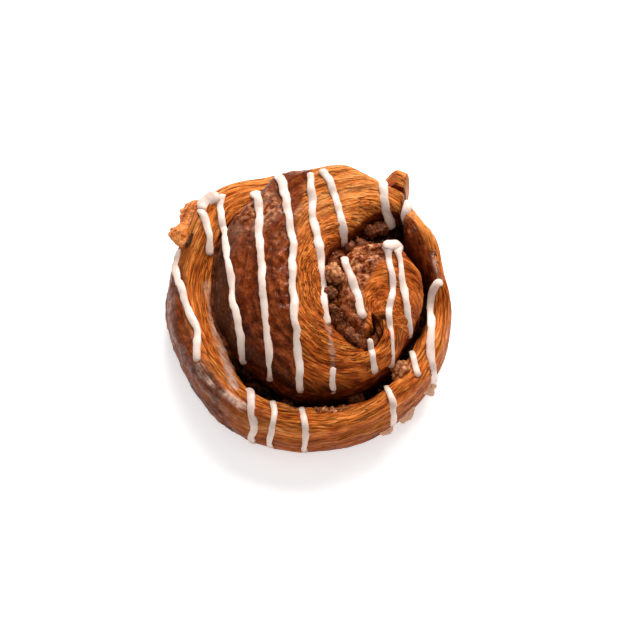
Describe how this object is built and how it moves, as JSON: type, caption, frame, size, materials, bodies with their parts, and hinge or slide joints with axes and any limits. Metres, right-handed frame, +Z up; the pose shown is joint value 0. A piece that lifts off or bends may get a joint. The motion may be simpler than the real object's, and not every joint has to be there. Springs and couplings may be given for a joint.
{
  "type": "danish pastry",
  "caption": "Round spiral danish pastry of laminated dough with a dark spiced filling, nut pieces and white icing drizzled across.",
  "frame": {"origin": "middle of the round base on the surface that the pastry rests on", "axes": "+Z up out of the top, -Y towards the viewer of the picture, +X to the viewer's right"},
  "size_m": [0.1081, 0.1105, 0.0439],
  "materials": {
    "crust": "golden brown flaky baked dough, satin from a thin glaze",
    "filling": "dark sticky spiced sugar filling, half gloss",
    "nut": "rough toasted nut pieces coated with filling",
    "icing": "white sugar icing, set, slightly see-through at thin edges"
  },
  "bodies": {
    "root": {"dough": "crust", "filling": "filling"}
  },
  "joints": []
}
